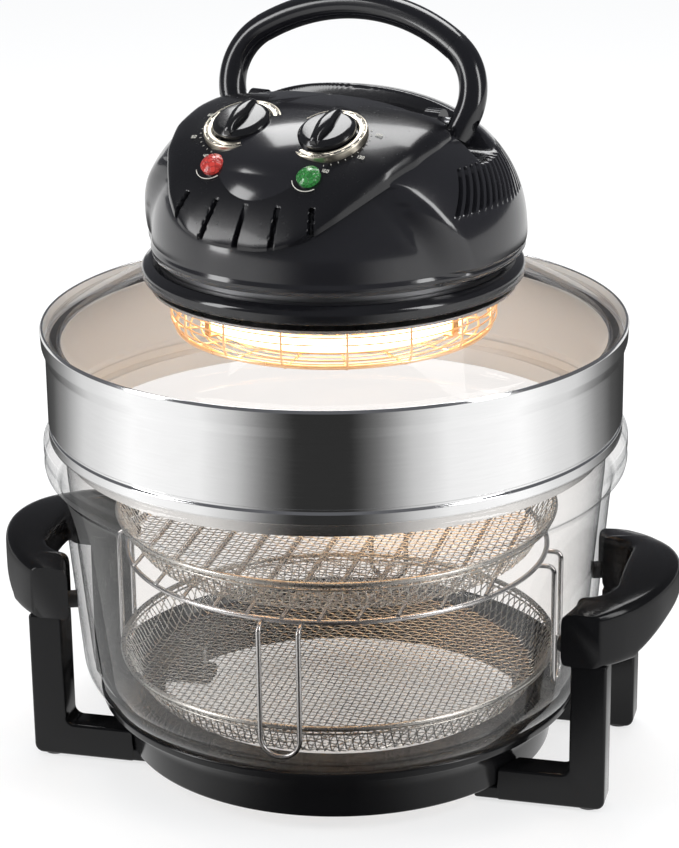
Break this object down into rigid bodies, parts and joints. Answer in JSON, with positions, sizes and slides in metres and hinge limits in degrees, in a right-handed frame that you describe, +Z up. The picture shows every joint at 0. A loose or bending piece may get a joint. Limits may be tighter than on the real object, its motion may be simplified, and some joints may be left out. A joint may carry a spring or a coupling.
{
  "type": "air fryer",
  "caption": "Countertop halogen air fryer: glass bowl in a four-legged stand, steel extender ring, mesh trays on a raised rack, and a glass lid carrying a domed head with dials and a swing handle.",
  "frame": {"origin": "on the table, under the centre of the bowl", "axes": "+Z is up, the stand's grips are at -X and +X, the front is -Y; the lid with its head is set 15 degrees clockwise of the front, seen from above"},
  "size_m": [0.392, 0.3276, 0.4322],
  "materials": {
    "base_plastic": "satin black moulded plastic",
    "seat_rubber": "dark silicone",
    "leg_plastic": "satin black moulded plastic",
    "grip_plastic": "satin black moulded plastic",
    "bumper_rubber": "black rubber",
    "foot_rubber": "dark grey rubber",
    "screw_steel": "zinc-plated steel",
    "bowl_glass": "clear tempered glass",
    "ring_steel": "polished stainless steel with fine brushing",
    "rack_wire": "chromed steel wire",
    "mesh_wire": "woven steel mesh",
    "lid_glass": "clear tempered glass",
    "seal_rubber": "dark silicone",
    "flange_plastic": "glossy dark plastic",
    "clamp_steel": "pressed steel",
    "plate_steel": "dark painted steel",
    "reflector_steel": "bright polished steel",
    "socket_ceramic": "white ceramic",
    "halogen_glass": "clear quartz round a glowing filament",
    "clip_brass": "heat-tinted brass",
    "guard_wire": "chromed steel wire",
    "housing_plastic": "glossy charcoal plastic",
    "cover_plastic": "glossy charcoal plastic",
    "panel_plastic": "glossy near-black plastic",
    "dial_ring": "silver-beige metallic",
    "red_lens": "translucent red",
    "green_lens": "translucent green",
    "lamp_body": "white plastic",
    "timer_body": "white plastic",
    "thermostat_body": "cream plastic",
    "switch_body": "dark red plastic",
    "terminal_plastic": "white plastic",
    "bracket_steel": "zinc-plated steel",
    "stator_iron": "laminated iron with copper windings",
    "bush_brass": "sintered bronze",
    "ear_plastic": "satin black plastic",
    "rod_steel": "bright steel",
    "inlet_rubber": "black rubber",
    "handle_plastic": "smooth near-black plastic",
    "knob_plastic": "black plastic",
    "spindle_brass": "machined brass",
    "shaft_steel": "ground steel",
    "cooling_fan_metal": "pressed aluminium",
    "hot_fan_metal": "pressed aluminium"
  },
  "bodies": {
    "stand": {"base_ring": "base_plastic", "seat_gasket": "seat_rubber", "left_front_leg": "leg_plastic", "left_rear_leg": "leg_plastic", "right_front_leg": "leg_plastic", "right_rear_leg": "leg_plastic", "left_grip": "grip_plastic", "right_grip": "grip_plastic", "bowl_bumpers": "bumper_rubber", "rubber_feet": "foot_rubber", "leg_screws": "screw_steel"},
    "bowl": {"glass_bowl": "bowl_glass"},
    "extender": {"extender_ring": "ring_steel"},
    "rack": {"high_rack": "rack_wire"},
    "upper_tray": {"upper_mesh_tray": "mesh_wire"},
    "lower_tray": {"lower_mesh_tray": "mesh_wire"},
    "lid": {"lid_glass": "lid_glass", "lid_seal": "seal_rubber", "lid_flange": "flange_plastic", "clamp_ring": "clamp_steel", "mounting_plate": "plate_steel", "reflector": "reflector_steel", "lamp_sockets": "socket_ceramic", "halogen_tube": "halogen_glass", "tube_clips": "clip_brass", "heater_guard": "guard_wire", "front_housing": "housing_plastic", "rear_cover": "cover_plastic", "control_panel": "panel_plastic", "left_dial_ring": "dial_ring", "right_dial_ring": "dial_ring", "red_lamp_lens": "red_lens", "green_lamp_lens": "green_lens", "lamp_holders": "lamp_body", "timer": "timer_body", "thermostat": "thermostat_body", "safety_switch": "switch_body", "terminal_block": "terminal_plastic", "motor_bracket": "bracket_steel", "motor_standoffs": "bracket_steel", "motor_stator": "stator_iron", "motor_cap": "bracket_steel", "shaft_bush": "bush_brass", "housing_screws": "screw_steel", "handle_bracket": "ear_plastic", "handle_rod": "rod_steel", "cord_inlet": "inlet_rubber"},
    "handle": {"carry_handle": "handle_plastic"},
    "timer_dial": {"timer_knob": "knob_plastic", "timer_spindle": "spindle_brass"},
    "thermostat_dial": {"thermostat_knob": "knob_plastic", "thermostat_spindle": "spindle_brass"},
    "rotor": {"motor_shaft": "shaft_steel", "motor_rotor": "shaft_steel", "cooling_fan": "cooling_fan_metal", "convection_fan": "hot_fan_metal", "fan_nut": "screw_steel"}
  },
  "joints": [
    {"name": "bowl_lift", "type": "slide", "parent": "stand", "child": "bowl", "axis": [0, 0, 1], "range_m": [0, 0.13]},
    {"name": "extender_lift", "type": "slide", "parent": "bowl", "child": "extender", "axis": [0, 0, 1], "range_m": [0, 0.09]},
    {"name": "lid_lift", "type": "slide", "parent": "extender", "child": "lid", "axis": [0, 0, 1], "range_m": [0, 0.3]},
    {"name": "rack_lift", "type": "slide", "parent": "bowl", "child": "rack", "axis": [0, 0, 1], "range_m": [0, 0.24]},
    {"name": "upper_tray_lift", "type": "slide", "parent": "rack", "child": "upper_tray", "axis": [0, 0, 1], "range_m": [0, 0.045]},
    {"name": "lower_tray_lift", "type": "slide", "parent": "bowl", "child": "lower_tray", "axis": [0, 0, 1], "range_m": [0, 0.225]},
    {"name": "handle_swing", "type": "hinge", "parent": "lid", "child": "handle", "pos_m": [0.00414, 0.01545, 0.36974], "axis": [-0.9659, 0.2588, 0], "range_deg": [-21, 45]},
    {"name": "timer_turn", "type": "hinge", "parent": "lid", "child": "timer_dial", "pos_m": [-0.03859, -0.04356, 0.37796], "axis": [-0.1011, -0.3774, 0.9205], "range_deg": [-300, 0]},
    {"name": "thermostat_turn", "type": "hinge", "parent": "lid", "child": "thermostat_dial", "pos_m": [0.01164, -0.05702, 0.37796], "axis": [-0.1011, -0.3774, 0.9205], "range_deg": [-270, 0]},
    {"name": "fan_spin", "type": "hinge", "parent": "lid", "child": "rotor", "pos_m": [0, 0, 0.29174], "axis": [0, 0, 1], "continuous": true}
  ],
  "couplings": [
    {"joint": "rack_lift", "follows": "lid_lift", "ratio": 0.8},
    {"joint": "upper_tray_lift", "follows": "lid_lift", "ratio": 0.15},
    {"joint": "lower_tray_lift", "follows": "lid_lift", "ratio": 0.75}
  ]
}
